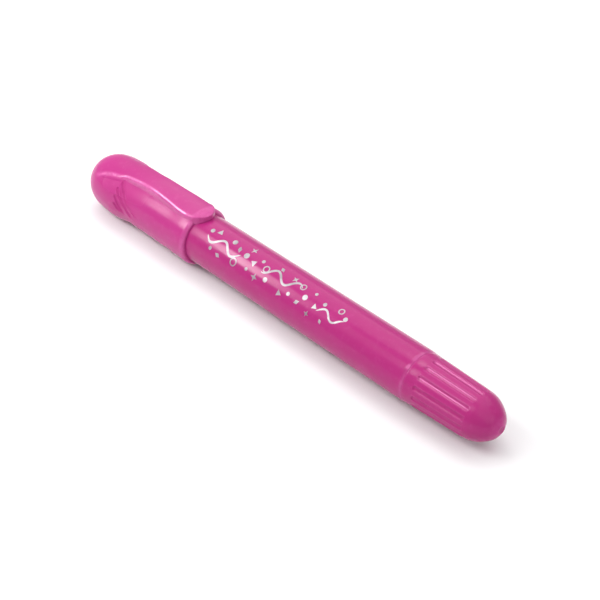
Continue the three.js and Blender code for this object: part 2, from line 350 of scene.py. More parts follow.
def moulded(name, base, light, deep, rough=(0.22, 0.32), bump=0.5, sss=0.0, radius=(1, 1, 1), wear_and_highlight=True, specular=0.2):
    """Moulded plastic: a faint flow mottling, uneven gloss, hairline handling marks, and rubbed edges and painted
    highlights that lighten the colour.
    """
    m, nt, shader, coords = new_material(name)
    cloud = noise(nt, coords, 42.0, 4.0, 0.55, (0.45, 1.0, 1.0))
    speck = noise(nt, coords, 620.0, 3.0, 0.6)
    colour = mixed(nt, ranged(nt, cloud, 0.32, 0.68, 0.0, 1.0, True), deep, base)
    colour = mixed(nt, ranged(nt, speck, 0.5, 0.8, 0.0, 0.08, True), colour, light)
    fine = noise(nt, coords, 2300.0, 2.0, 0.6)
    patch = noise(nt, coords, 120.0, 3.0, 0.6)
    hair = noise(nt, coords, 1.0, 2.0, 0.5, (95.0, 2600.0, 2600.0))
    hair2 = noise(nt, coords, 1.0, 2.0, 0.5, (1900.0, 300.0, 300.0))
    marks = maths(nt, "MAXIMUM", ranged(nt, hair, 0.69, 0.76, 0.0, 1.0), ranged(nt, hair2, 0.73, 0.79, 0.0, 1.0))
    lo, hi = rough
    gloss = ranged(nt, patch, 0.3, 0.7, lo, hi)
    gloss = maths(nt, "ADD", gloss, maths(nt, "MULTIPLY", marks, 0.06))
    if wear_and_highlight:
        p = nt.nodes.new("ShaderNodeAttribute")
        p.attribute_name = "polish"
        polish = p.outputs["Fac"]
        a = nt.nodes.new("ShaderNodeAttribute")
        a.attribute_name = "wear_and_highlight"
        grain = noise(nt, coords, 900.0, 4.0, 0.7)
        # this mask holds handling wear and painted highlights; both lighten the colour towards the pale tone and
        # roughen it a little
        worn_or_highlit = maths(nt, "MULTIPLY", a.outputs["Fac"], ranged(nt, grain, 0.38, 0.62, 0.55, 1.0))
        gloss = maths(nt, "ADD", gloss, maths(nt, "MULTIPLY", worn_or_highlit, 0.14))
        colour = mixed(nt, maths(nt, "MULTIPLY", worn_or_highlit, 0.6), colour, light)
        gloss = maths(nt, "MULTIPLY", gloss, ranged(nt, polish, 0.0, 1.0, 1.0, 0.5))
        d = nt.nodes.new("ShaderNodeAttribute")
        d.attribute_name = "dull"
        dull = d.outputs["Fac"]
        gloss = maths(nt, "ADD", gloss, maths(nt, "MULTIPLY", dull, 0.3))
        level = maths(nt, "MULTIPLY", ranged(nt, polish, 0.0, 1.0, specular, 1.0), ranged(nt, dull, 0.0, 1.0, 1.0, 0.5))
        nt.links.new(level, shader.inputs["Specular IOR Level"])
        nt.links.new(mixed(nt, polish, (1.0, 1.0, 1.0), (1.0, 0.5, 0.8)), shader.inputs["Specular Tint"])
    nt.links.new(colour, shader.inputs["Base Color"])
    nt.links.new(gloss, shader.inputs["Roughness"])
    if not wear_and_highlight:
        shader.inputs["Specular IOR Level"].default_value = specular
    if sss:
        shader.inputs["Subsurface Weight"].default_value = sss
        shader.inputs["Subsurface Radius"].default_value = radius
        shader.inputs["Subsurface Scale"].default_value = 0.001
    sink = noise(nt, coords, 70.0, 1.0, 0.4, (0.35, 1.0, 1.0))
    bumped(
        nt,
        shader,
        [
            (sink, 0.10 * bump, 0.0002),
            (marks, 0.10 * bump, 0.00001),
            (fine, 0.05 * bump, 0.00001),
        ],
    )
    return m


def srgb(r, g, b):
    out = []
    for c in (r, g, b):
        c /= 255.0
        out.append(c / 12.92 if c <= 0.04045 else ((c + 0.055) / 1.055) ** 2.4)
    return tuple(out)


CAP_PLASTIC = moulded("cap_plastic", (0.410, 0.0325, 0.192), (0.68, 0.155, 0.42), (0.394, 0.030, 0.182), (0.15, 0.20), sss=0.1, radius=(1.6, 0.5, 0.9))
BARREL_PLASTIC = moulded("barrel_plastic", (0.356, 0.0205, 0.152), (0.60, 0.12, 0.36), (0.342, 0.0185, 0.144), (0.15, 0.20), sss=0.1, radius=(1.6, 0.5, 0.9))
WHITE_PLASTIC = moulded("white_plastic", srgb(208, 206, 204), srgb(222, 221, 219), srgb(200, 198, 195), (0.30, 0.42), wear_and_highlight=False, sss=0.25, radius=(1.5, 1.4, 1.3))
LINER_PLASTIC = moulded("liner_plastic", srgb(206, 204, 200), srgb(218, 216, 213), srgb(198, 195, 190), (0.45, 0.6), wear_and_highlight=False, sss=0.35, radius=(2.0, 1.9, 1.8))
NATURAL_PLASTIC = moulded("natural_plastic", srgb(204, 200, 191), srgb(216, 213, 205), srgb(194, 189, 179), (0.38, 0.5), wear_and_highlight=False, sss=0.35, radius=(2.0, 1.9, 1.7))


def rubber_material():
    m, nt, shader, coords = new_material("rubber")
    dust = noise(nt, coords, 700.0, 4.0, 0.65)
    fine = noise(nt, coords, 2600.0, 3.0, 0.6)
    colour = mixed(nt, ranged(nt, dust, 0.5, 0.8, 0.0, 0.35, True), (0.012, 0.012, 0.013), (0.06, 0.06, 0.062))
    nt.links.new(colour, shader.inputs["Base Color"])
    nt.links.new(ranged(nt, dust, 0.3, 0.7, 0.55, 0.8), shader.inputs["Roughness"])
    bumped(nt, shader, [(fine, 0.3, 0.00002)])
    return m


def paint_material():
    """Pressed waxy paint: a soft sheen, fine pits and streaks, and a chalky bloom."""
    m, nt, shader, coords = new_material("paint")
    cloud = noise(nt, coords, 160.0, 5.0, 0.6)
    pits = noise(nt, coords, 1500.0, 4.0, 0.7)
    streak = noise(nt, coords, 1.0, 3.0, 0.6, (120.0, 1300.0, 1300.0))
    colour = mixed(nt, ranged(nt, cloud, 0.3, 0.7, 0.0, 1.0, True), srgb(176, 28, 104), srgb(190, 40, 118))
    colour = mixed(nt, ranged(nt, streak, 0.55, 0.8, 0.0, 0.35, True), colour, srgb(208, 84, 146))
    colour = mixed(nt, ranged(nt, pits, 0.62, 0.8, 0.0, 0.4, True), colour, srgb(222, 136, 178))
    nt.links.new(colour, shader.inputs["Base Color"])
    nt.links.new(ranged(nt, cloud, 0.3, 0.7, 0.42, 0.6), shader.inputs["Roughness"])
    shader.inputs["Subsurface Weight"].default_value = 0.3
    shader.inputs["Subsurface Radius"].default_value = (1.5, 0.4, 0.8)
    shader.inputs["Subsurface Scale"].default_value = 0.001
    bumped(nt, shader, [(streak, 0.3, 0.00004), (pits, 0.45, 0.00004)])
    return m


def foil_material():
    """Hot-stamped silver foil: brushed-fine grain, tiny pinholes and a slightly uneven brightness."""
    m, nt, shader, coords = new_material("silver_foil")
    patch = noise(nt, coords, 260.0, 3.0, 0.6)
    grain = noise(nt, coords, 3000.0, 2.0, 0.6)
    tone = mixed(nt, ranged(nt, patch, 0.35, 0.65, 0.0, 1.0, True), (0.26, 0.235, 0.255), (0.43, 0.40, 0.425))
    tone = mixed(nt, ranged(nt, grain, 0.66, 0.8, 0.0, 0.5, True), tone, srgb(206, 120, 168))
    nt.links.new(tone, shader.inputs["Base Color"])
    shader.inputs["Metallic"].default_value = 0.85
    nt.links.new(ranged(nt, patch, 0.3, 0.7, 0.4, 0.55), shader.inputs["Roughness"])
    bumped(nt, shader, [(grain, 0.25, 0.00001)])
    return m


RUBBER = rubber_material()
PAINT = paint_material()
FOIL = foil_material()

# ---------- cap: outline ----------
_cs = [0, 0.15, 0.6, 1.5, 3, 5, 7, 9, 11, 13.3, 15, 16.5, 18, 20, 23, 28, 36, 41.5, 42.9]
_cr = [0, 1.5, 2.92, 4.42, 5.98, 7.15, 7.78, 8.06, 8.20, 8.26, 8.16, 7.96, 7.74, 7.6, 7.61, 7.655, 7.73, 7.93, 7.95]
_cap_r2 = curve([(s, r * r) for s, r in zip(_cs, _cr)])
CAP_END, LIP_FROM, LIP_IN, LIP_R = 44.55, 43.4, 6.82, 7.95
TAB_END, TAB_UNDER = 46.95, 6.87


_lip = np.array(rounded([(LIP_FROM, LIP_R), (43.62, LIP_R, 0.12), (44.2, 7.69, 0.3), (44.52, 7.3, 0.16), (CAP_END, LIP_IN)], 8))


def cap_r(s):
    s = np.asarray(s, float)
    body = np.sqrt(np.maximum(_cap_r2(np.minimum(s, LIP_FROM)), 0))
    lip = np.interp(s, _lip[:, 0], _lip[:, 1])
    return np.where(s > LIP_FROM, lip, body)


# Tongue: half width and height of its upper edge, height of its middle, spread and depth of its base.
_edge_angle = curve([(0, 58), (3, 57), (5, 56), (7.4, 54.5), (8.3, 50.5), (9.4, 46.2), (11, 41.2), (12.2, 38.2), (14, 36)])
_proud = curve([(0, 0), (9.5, 0), (11, 0.02), (12, 0.08), (13.5, 0.2), (15, 0.38)])
_tw2 = curve([(s, w * w) for s, w in [(11, 5.40), (12, 5.18), (13.5, 4.98), (15, 4.79), (16, 4.47), (17, 4.13), (19, 3.88), (21, 3.73), (24, 3.56), (27, 3.59), (30, 3.66), (33, 3.79), (36, 4.01), (38.3, 4.17), (40.5, 4.19), (42.3, 4.08), (43.6, 3.87), (44.4, 3.6), (45.3, 3.02), (46.2, 2.03), (46.7, 1.15), (TAB_END, 0.0)]])
_tz = curve([(11, 6.17), (12, 6.52), (13.5, 6.86), (15, 7.12), (17, 7.78), (19, 8.06), (21, 8.22), (24, 8.42), (27, 8.55), (30, 8.5), (33, 8.36), (36, 8.19), (38.5, 8.04), (41, 7.97), (43, 8.02), (44.5, 8.11), (45.6, 8.17), (47, 8.17)])
_mid = curve([(0, 0), (0.001, 0.0), (11, 8.20), (13.3, 8.30), (15, 8.38), (17, 8.50), (19, 8.65), (21, 8.78), (24, 8.95), (27, 9.07), (30, 9.02), (33, 8.89), (36, 8.72), (38.5, 8.58), (41, 8.50), (43, 8.5), (44.5, 8.54), (45.6, 8.56), (47, 8.5)])
_spread = curve([(0, 0), (5, 0.0), (7.2, 0.04), (9.3, 0.34), (11, 0.56), (13, 0.62), (15, 0.46), (16.4, 0.38), (17.3, 0.2), (18.6, 0.1), (21, 0.08), (44.4, 0.08), (44.55, 0.0), (47, 0.0)])
_scoop = curve([(0, 0), (6.9, 0), (7.7, 0.05), (9, 0.17), (11, 0.27), (13, 0.3), (15, 0.28), (15.95, 0.26), (16.45, 0.0), (50, 0)])
_crease = curve([(0, 57), (6.9, 57), (7.6, 57.5), (9.3, 61), (11.4, 64.6), (13.4, 66.2), (15.4, 66.8), (16.5, 67.2), (50, 67.2)])

SWOOSHES = [
    [(16.45, 36.3), (17.66, 46.8), (19.58, 62.8), (21.55, 76.6), (23.96, 85.3), (26.8, 99.3)],
    [(16.33, 54.3), (17.4, 65.7), (18.9, 75.0), (20.9, 85.2), (22.58, 96.8), (23.6, 104)],
    [(16.19, 70.2), (17.45, 81.5), (19.0, 94.4), (20.2, 104)],
    [(16.16, 85), (17.54, 95), (18.4, 103)],
]
_swoosh_points = []
for line in SWOOSHES:
    t = np.linspace(0, 1, len(line))
    fs, fa = curve(list(zip(t, [p[0] for p in line]))), curve(list(zip(t, [p[1] for p in line])))
    tt = np.linspace(0, 1, 160)
    ss, aa = fs(tt), np.radians(fa(tt))
    _swoosh_points.append(np.column_stack([ss, aa * 7.85, tt]))


def swoosh_depth(s, angle):
    """How far the grooves cut in at a station and angle from the top, in mm."""
    p = np.column_stack([np.ravel(s), np.ravel(angle) * 7.85])
    depth = np.zeros(len(p))
    near = (p[:, 0] > 15.0) & (p[:, 0] < 28.6) & (p[:, 1] > 4.0) & (p[:, 1] < 15.5)
    q = p[near]
    if len(q):
        total = np.zeros(len(q))
        for line, wide in zip(_swoosh_points, (0.42, 0.46, 0.42, 0.38)):
            d2 = ((q[:, None, :] - line[None, :, :2]) ** 2).sum(2)
            k = d2.argmin(1)
            d = np.sqrt(d2[np.arange(len(q)), k])
            t = line[k, 2]
            fade = 1 - ease(0.72, 1.0, t)
            groove = 0.28 * np.clip(1 - (d / wide) ** 2, 0, 1) ** 1.3
            shoulder = 0.08 * np.exp(-(((d - wide - 0.12) / 0.2) ** 2))
            total = np.where(groove * fade > 0.004, np.maximum(total, groove * fade), total - shoulder * fade)
        depth[near] = total
    return depth.reshape(np.shape(s))


N_TOP, N_EDGE, N_WALL, N_FOOT, N_SIDE, N_LOW = 22, 10, 6, 4, 84, 26
HALF = N_TOP + N_EDGE + N_WALL + N_FOOT + N_SIDE + N_LOW
J_EDGE = N_TOP
J_WALL = N_TOP + N_EDGE
J_BASE = N_TOP + N_EDGE + N_WALL  # column of the foot of the tongue's wall
J_SIDE = J_BASE + N_FOOT

_outline = np.column_stack([np.linspace(41.5, TAB_END, 500), np.sqrt(np.maximum(_tw2(np.linspace(41.5, TAB_END, 500)), 0))])


def plan_distance(s, y):
    """Distance in plan from a point on the tongue's top to its outline."""
    d = np.sqrt((_outline[None, :, 0] - s) ** 2 + (_outline[None, :, 1] - np.abs(y)[:, None]) ** 2).min(1)
    return d


def section(s, tab=False):
    """Half of the cap's outer section at one station, from the top middle down to the bottom middle: y and z."""
    r = float(cap_r(s))
    nose = 1 - float(ease(11, 13, s))
    psi = math.radians(float(_edge_angle(s)))
    proud = float(_proud(s))
    w = nose * (r + proud) * math.sin(psi) + (1 - nose) * math.sqrt(max(float(_tw2(s)), 0))
    z_edge = nose * (r + proud) * math.cos(psi) + (1 - nose) * float(_tz(s))
    middle = float(_mid(s)) if s > 11 else r
    k = float(ease(9, 16, s))

    def top(y):
        u = np.clip(np.abs(y) / max(w, 1e-6), 0, 1)
        rc = r + proud * u * u
        round_top = np.sqrt(np.maximum(rc * rc - y * y, 0))
        crowned = z_edge + (middle - z_edge) * min(1.0, (w / 3.0) ** 2) * (1 - u * u)
        return (1 - k) * round_top + k * crowned

    under = max(r, TAB_UNDER) if s > 43.5 else r
    if tab:
        under = TAB_UNDER
    scoop = 0.0 if tab else float(_scoop(s))
    yb = w + (0.0 if tab else float(_spread(s)))
    rb = under - scoop
    zb = math.sqrt(max(rb * rb - yb * yb, 0))
    foot_angle = math.atan2(yb, zb)

    edge = 0.85 - 0.58 * float(ease(41.5, 43.5, s))
    flat_w = max(w - edge, w * 0.35) if w > 0 else 0
    y_top = np.linspace(0, 1, N_TOP + 1)[:-1] * flat_w
    t = np.linspace(0, 1, N_EDGE + 1)
    y_edge = flat_w + (w - flat_w) * np.sin(t * np.pi / 2)
    y_all = np.concatenate([y_top, y_edge])
    z_all = top(y_all)
    height = max(float(top(np.array([w]))[0]) - zb, 0.0)
    drop = min(edge, 0.6 * height)
    d = plan_distance(s, y_all) if s > 42 else (w - y_all)
    d = np.clip(d / edge, 0, 1)
    z_round = z_all - drop * (1 - np.sqrt(np.maximum(1 - (1 - d) ** 2, 0)))
    # edge and wall of the tongue
    p_edge = np.array([w, z_round[-1]])
    p_foot = np.array([yb, zb])
    foot = 0.16 * float(ease(16.2, 17.5, s)) * (1 - float(ease(43.9, 44.4, s))) if not tab else 0.0
    length = np.linalg.norm(p_foot - p_edge)
    up = (p_edge - p_foot) / max(length, 1e-9)
    wall_end = p_foot + up * min(foot, 0.4 * length)
    tw = np.linspace(0, 1, N_WALL + 1)[1:]
    wall = p_edge[None, :] + (wall_end - p_edge)[None, :] * tw[:, None]
    tongue_part = np.vstack([np.column_stack([y_all[J_EDGE:], z_round[J_EDGE:]]), wall])
    # on the nose the edge is a soft shoulder that ends in a crisp foot
    if k < 1:
        a = np.array([flat_w, float(top(np.array([flat_w]))[0])])
        c = np.array([w + 0.1 * (yb - w), float(top(np.array([w]))[0])])
        tb = np.linspace(0, 1, N_EDGE + N_WALL + 1)[:, None]
        soft = (1 - tb) ** 2 * a + 2 * tb * (1 - tb) * c + tb * tb * p_foot
        k2 = float(ease(14.6, 17.2, s))
        tongue_part = (1 - k2) * soft + k2 * tongue_part
        z_first = top(y_top)
        z_top_part = (1 - k2) * z_first + k2 * z_round[:J_EDGE]
    else:
        z_top_part = z_round[:J_EDGE]
    if tab:
        return np.concatenate([y_top, tongue_part[:, 0]]), np.concatenate([z_top_part, tongue_part[:, 1]])
    # foot of the wall, side and underside
    a0 = foot_angle + min(foot, 0.3) / r + 0.004
    first = np.array([math.sin(a0), math.cos(a0)]) * (r - scoop)
    corner = p_foot
    tf = np.linspace(0, 1, N_FOOT + 1)[1:-1, None]
    last = tongue_part[-1]
    fillet = (1 - tf) ** 2 * last + 2 * tf * (1 - tf) * corner + tf * tf * first
    mid_angle = math.radians(112)
    angles = np.concatenate([np.linspace(a0, mid_angle, N_SIDE + 1)[:-1], np.linspace(mid_angle, math.pi, N_LOW + 2)[:-1], [math.pi]])
    angles = angles[: N_SIDE + N_LOW + 1]
    angles = np.concatenate([np.linspace(a0, mid_angle, N_SIDE + 1)[:-1], np.linspace(mid_angle, math.pi, N_LOW + 1)])
    crease = math.radians(float(_crease(s)))
    t = np.clip((angles - foot_angle) / max(crease - foot_angle, 1e-6), 0, 1)
    rr = r - scoop * (1 - t) - swoosh_depth(np.full(len(angles), s), angles)
    ys, zs = rr * np.sin(angles), rr * np.cos(angles)
    y = np.concatenate([y_top, tongue_part[:, 0], fillet[:, 0], ys])
    z = np.concatenate([z_top_part, tongue_part[:, 1], fillet[:, 1], zs])
    over = z + AXIS_Z
    z = -AXIS_Z + 0.5 * (over + np.sqrt(over * over + 0.1 * 0.1))
    return y, z


def both_sides(s, y, z):
    """A closed ring of points from one half: top middle, down the -Y side to the bottom, and up the +Y side."""
    n = len(y)
    left = [(s, -y[j], z[j]) for j in range(n)]
    left[0] = (s, 0.0, z[0])
    left[-1] = (s, 0.0, z[-1])
    right = [(s, y[j], z[j]) for j in range(n - 2, 0, -1)]
    return left + right


def cap_stations():
    dense = np.concatenate([np.linspace(0, 3, 800), np.linspace(3, 14, 800)[1:]])
    r = cap_r(dense)
    arc = np.concatenate([[0], np.cumsum(np.hypot(np.diff(dense), np.diff(r)))])
    along = []
    pos = 0.14
    while True:
        s = float(np.interp(pos, arc, dense))
        if s > 13.9:
            break
        along.append(s)
        pos += 0.34 if s < 6.6 else 0.22
    tail = list(np.arange(14.0, 27.6, 0.115)) + list(np.arange(27.6, 41.9, 0.36)) + [42.1, 42.4, 42.7, 43.0, 43.2]
    lip = sorted(set(np.round(_lip[:, 0], 4))) + [44.53]
    lip = sorted(lip)
    return along + tail + lip


def build_cap():
    skin = Skin()
    stations = cap_stations()
    pole = skin.add([(0, 0, 0)])[0]
    rings = []
    for s in stations:
        y, z = section(s)
        rings.append(skin.add(both_sides(s, y, z)))
    skin.fan(pole, rings[0])
    for a, b in zip(rings, rings[1:]):
        skin.strip(a, b)
    end = rings[-1]
    n = len(end)
    # tab over the barrel: the tongue's columns go on past the mouth, then come back underneath
    left = list(range(0, J_BASE + 1))
    right = [n - j for j in range(J_BASE, 0, -1)]
    across = [end[j] for j in right] + [end[j] for j in left]  # from the +Y foot over the top to the -Y foot
    u = np.linspace(0, 1, 30)[1:-1]
    tab_stations = CAP_END + (TAB_END - CAP_END) * (1 - (1 - u) ** 2)
    uppers = [across]
    for s in tab_stations:
        y, z = section(float(s), tab=True)
        ring = [(s, y[j], z[j]) for j in range(len(y) - 1, 0, -1)] + [(s, -y[j], z[j]) for j in range(len(y))]
        ring[len(y) - 1] = (s, 0.0, z[0])
        uppers.append(skin.add(ring))
    y_end = np.array([abs(skin.v[i][1]) for i in across]) * np.sign([skin.v[i][1] for i in across])
    unders = []
    for row in uppers:
        ys = np.array([skin.v[i][1] for i in row])
        s = skin.v[row[0]][0]
        inner = [(s, yy, math.sqrt(TAB_UNDER**2 - yy * yy)) for yy in ys[1:-1]]
        unders.append([row[0]] + skin.add(inner) + [row[-1]])
    for a, b in zip(uppers, uppers[1:]):
        skin.strip(a, b, closed=False)
    for a, b in zip(unders, unders[1:]):
        skin.strip(b, a, closed=False)
    tip_z = 0.5 * (skin.v[uppers[-1][len(across) // 2]][2] + TAB_UNDER)
    tip = skin.add([(TAB_END, 0, tip_z)])[0]
    skin.fan(tip, uppers[-1], closed=False)
    skin.fan(tip, list(reversed(unders[-1])), closed=False)
    # mouth: where the tab starts, the end face begins at the tab's underside
    mouth = list(end)
    under_row = unders[0]
    for i, j in enumerate(right):
        mouth[j] = under_row[i]
    for i, j in enumerate(left):
        mouth[j] = under_row[len(right) + i]
    angles = np.array([math.atan2(-skin.v[i][1], skin.v[i][2]) for i in mouth])
    inner = [(CAP_END, 6.62), (CAP_END - 0.12, 6.5), (CAP_END - 0.5, 6.25)]
    inner += [(s, 6.25) for s in (43.2, 41.5, 39.0, 36.0, 32.0, 28.0, 24.0, 20.0, 16.0, 12.0, 10.0)]
    dome = curve([(1.5, 0), (1.7, 1.85**2), (2.5, 3.7**2), (4.0, 5.2**2), (6.0, 6.0**2), (8.6, 6.25**2), (9.5, 6.25**2)])
    inner += [(s, math.sqrt(float(dome(s)))) for s in (8.6, 7.6, 6.7, 6.0, 5.3, 4.6, 4.0, 3.4, 2.9, 2.5, 2.1, 1.85, 1.7, 1.6, 1.54)]
    last = mouth
    for s, r in inner:
        ring = skin.add([(s, -r * math.sin(a), r * math.cos(a)) for a in angles])
        skin.strip(last, ring)
        last = ring
    skin.fan(skin.add([(1.5, 0, 0)])[0], list(reversed(last)))
    return skin


cap = piece("cap_shell_moulded", build_cap(), "cap", CAP_PLASTIC, ["cap_shell"], sharp=48)


def tongue_edge(s):
    """Half width of the tongue's edge, carried on over the nose."""
    nose = cap_r(s) * np.sin(np.radians(_edge_angle(s)))
    return np.where(s < 11, nose, np.sqrt(np.maximum(_tw2(np.clip(s, 11, TAB_END)), 0)))


# Lighter rubbed wear at the lip, the nose and the belly; along the tongue's edge a lighter line that is partly wear and
# partly a painted highlight.
def cap_wear_and_highlight(s, y, z):
    r = np.hypot(y, z)
    lip = ease(43.0, 44.0, s) * (r > 6.7)
    w = tongue_edge(s)
    # from the nose to about s 30 the edge line is mostly a painted highlight, lighter where the lamps leave no
    # highlight on the edge
    edge = np.exp(-(((np.abs(y) - w + 0.3) / 0.4) ** 2)) * (z > 2.5) * (r > 6.7) * ease(5, 9, s)
    nose = np.exp(-((s / 1.6) ** 2))
    belly = np.exp(-(((z + AXIS_Z) / 0.25) ** 2))
    return np.maximum.reduce([0.4 * lip, edge * (0.35 + 0.65 * ease(32, 28, s)), 0.5 * nose, 0.8 * belly])


def cap_polish(s, y, z):
    w = tongue_edge(s)
    edge = ease(0.95, 0.75, w - np.abs(y)) * ease(0.14, 0.02, np.abs(y) - w) * (z > 2.5) * (np.hypot(y, z) > 6.7) * ease(13.5, 18.0, s) * ease(44.6, 43.4, s)
    lip = ease(43.5, 43.6, s) * (np.hypot(y, z) > 7.4) * (z < 6.6)
    return np.maximum(edge, lip)


def cap_dull(s, y, z):
    """The recess by the tongue's root, where fingers don't polish the plastic."""
    angle = np.degrees(np.arctan2(np.abs(y), z))
    beside = ease(0.02, 0.2, np.abs(y) - tongue_edge(s)) * ease(74, 52, angle) * (z > 0) * (np.hypot(y, z) > 6.7)
    return beside * ease(9.0, 12.0, s) * ease(31.0, 20.0, s)


mask(cap, "wear_and_highlight", cap_wear_and_highlight)
mask(cap, "polish", cap_polish)
mask(cap, "dull", cap_dull)

# ---------- cap liner ----------
liner_out = curve([(1.9, 0), (2.1, 1.6**2), (2.95, 3.4**2), (4.4, 4.85**2), (6.4, 5.65**2), (9.2, 5.95**2), (9.6, 5.95**2)])
liner_in = curve([(2.75, 0), (2.95, 1.4**2), (3.7, 2.9**2), (5.1, 4.25**2), (7.1, 5.0**2), (9.8, 5.35**2), (10.2, 5.35**2)])
profile = [(1.9, 0)] + [(s, math.sqrt(float(liner_out(s)))) for s in (1.94, 2.0, 2.1, 2.35, 2.6, 2.95, 3.4, 3.9, 4.4, 5.0, 5.7, 6.4, 7.3, 8.2, 9.2)]
profile += rounded([(9.2, 5.95), (20, 5.95), (32.9, 5.95, 0.12), (32.9, 5.35, 0.25), (20, 5.35), (9.8, 5.35)])[1:]
profile += [(s, math.sqrt(float(liner_in(s)))) for s in (9.0, 8.0, 7.1, 6.4, 5.7, 5.1, 4.6, 4.1, 3.7, 3.3, 2.95, 2.84, 2.78)] + [(2.75, 0)]
piece("cap_liner_moulded", lathe(profile, 96), "cap", LINER_PLASTIC, ["cap_liner"])

# ---------- barrel ----------
barrel_profile = rounded(
    [
        (75.0, 5.55),
        (44.58, 5.55, 0.12),
        (44.58, 6.8, 0.06),
        (75.0, 6.8),
        (120.75, 6.8, 0.12),
        (121.45, 6.635, 0.06),
        (121.52, 6.56, 0.05),
        (121.5, 5.55, 0.12),
        (117.3, 5.55, 0.06),
        (117.3, 6.1, 0.06),
        (115.9, 6.1, 0.06),
        (115.9, 5.55, 0.06),
        (112.0, 5.55),
    ]
)
barrel = piece("barrel_moulded", lathe(barrel_profile, 192), "barrel", BARREL_PLASTIC, ["barrel"])
mask(barrel, "wear_and_highlight", lambda s, y, z: 0.5 * (np.hypot(y, z) > 6.4) * np.exp(-(((s - 121.3) / 0.3) ** 2)))
mask(barrel, "polish", lambda s, y, z: (np.hypot(y, z) > 6.4) * ease(120.65, 120.8, s))

# ---------- front sleeve ----------
sleeve_profile = rounded(
    [
        (50.0, 4.55),
        (29.5, 4.55, 0.12),
        (29.5, 5.0, 0.22),
        (33.2, 5.0, 0.1),
        (33.62, 5.5, 0.12),
        (34.0, 5.85, 0.12),
        (39.4, 5.85, 0.12),
        (39.85, 6.05, 0.14),
        (40.35, 6.05, 0.14),
        (40.8, 5.85, 0.12),
        (44.55, 5.85, 0.08),
        (44.55, 5.2, 0.05),
        (60.0, 5.2),
        (98.0, 5.2, 0.1),
        (98.0, 4.55, 0.08),
        (70.0, 4.55),
    ],
    4,
)
sleeve = piece("front_sleeve_moulded", lathe(sleeve_profile, 128), "barrel", WHITE_PLASTIC, ["front_sleeve"])
cut(sleeve, block(62.0, 99.0, -6.0, 6.0, -0.95, 0.95, 0.15))

# ---------- knob ----------
FLUTES, FLUTE_PHASE = 15, math.radians(19.3)
FLUTE_FROM, FLUTE_TO, FLUTE_HALF, FLUTE_DEEP = 124.55, 139.7, 0.62, 0.26
knob_r2 = curve(
    [(s, r * r) for s, r in [(122.1, 6.66), (124.4, 6.575), (129.25, 6.407), (135.2, 6.247), (138.0, 6.14), (139.3, 6.06), (140.66, 5.83), (142.15, 5.22), (143.64, 4.30), (144.93, 3.13), (145.6, 2.05), (145.95, 1.42), (146.08, 1.12)]]
)


def build_knob():
    skin = Skin()
    pitch = 2 * math.pi / FLUTES
    dense = np.radians(np.concatenate([np.linspace(-6.4, 6.4, 19), np.linspace(6.4, 17.6, 8)[1:-1]]))
    angles = np.sort(np.concatenate([FLUTE_PHASE + i * pitch + dense for i in range(FLUTES)]) % (2 * math.pi))
    sides = len(angles)
    offset = (angles - FLUTE_PHASE + pitch / 2) % pitch - pitch / 2

    def ring(s, r, cuts=False):
        rr = np.full(sides, r)
        if cuts:
            d_along = max(FLUTE_FROM + FLUTE_HALF - s, 0, s - (FLUTE_TO - FLUTE_HALF))
            d = np.hypot(offset * r, d_along)
            rr = rr - FLUTE_DEEP * np.clip(1 - (d / FLUTE_HALF) ** 2, 0, 1) ** 0.8
            rr = rr + 0.03 * np.exp(-(((d - FLUTE_HALF - 0.1) / 0.16) ** 2))
        return skin.add(np.column_stack([np.full(sides, s), -rr * np.sin(angles), rr * np.cos(angles)]))

    rings = []
    for s, r in [(121.54, 6.5), (121.542, 6.57), (121.56, 6.605), (121.62, 6.625), (121.75, 6.64), (121.9, 6.65)]:
        rings.append(ring(s, r))
    stations = list(np.arange(122.1, 124.3, 0.3)) + list(np.arange(124.35, 125.9, 0.1)) + list(np.arange(126.2, 138.1, 0.6)) + list(np.arange(138.25, 140.3, 0.1)) + list(np.arange(140.5, 143.6, 0.25))
    for s in stations:
        rings.append(ring(s, math.sqrt(float(knob_r2(s))), 124.0 < s < 140.3))
    # round end by equal steps of radius, then the flat disc with the gate mark in it
    grid = np.linspace(143.64, 146.08, 2000)
    r_grid = np.sqrt(knob_r2(grid))
    for r in np.arange(4.2, 1.14, -0.16):
        rings.append(ring(float(np.interp(-r, -r_grid, grid)), float(r)))
    for s, r in [(146.085, 1.1), (146.1, 1.02), (146.1, 0.82), (146.085, 0.76), (146.055, 0.7), (146.045, 0.6), (146.045, 0.34), (146.055, 0.28), (146.075, 0.22), (146.08, 0.1)]:
        rings.append(ring(s, r))
    for a, b in zip(rings, rings[1:]):
        skin.strip(a, b)
    skin.fan(skin.add([(146.08, 0, 0)])[0], rings[-1])
    inner = rounded(
        [
            (121.54, 6.5),
            (121.54, 5.2, 0.1),
            (120.1, 5.2, 0.06),
            (120.1, 4.35, 0.1),
            (118.5, 4.35, 0.1),
            (118.5, 5.2, 0.06),
            (117.3, 5.2, 0.06),
            (117.3, 4.72, 0.06),
            (115.9, 4.72, 0.06),
            (115.9, 5.2, 0.06),
            (113.7, 5.2, 0.1),
            (113.3, 4.9, 0.1),
            (113.3, 4.0, 0.1),
            (132.0, 4.0, 0.2),
            (132.6, 2.5, 0.2),
            (140.0, 2.2, 0.1),
            (140.6, 0.4, 0.0),
        ],
        3,
    )[1:]
    last = rings[0]
    for s, r in inner:
        b = ring(s, r)
        skin.strip(last, b)
        last = b
    skin.fan(skin.add([(140.6, 0, 0)])[0], last)
    return skin


knob = piece("twist_knob_moulded", build_knob(), "knob", BARREL_PLASTIC, ["twist_knob"], sharp=48)


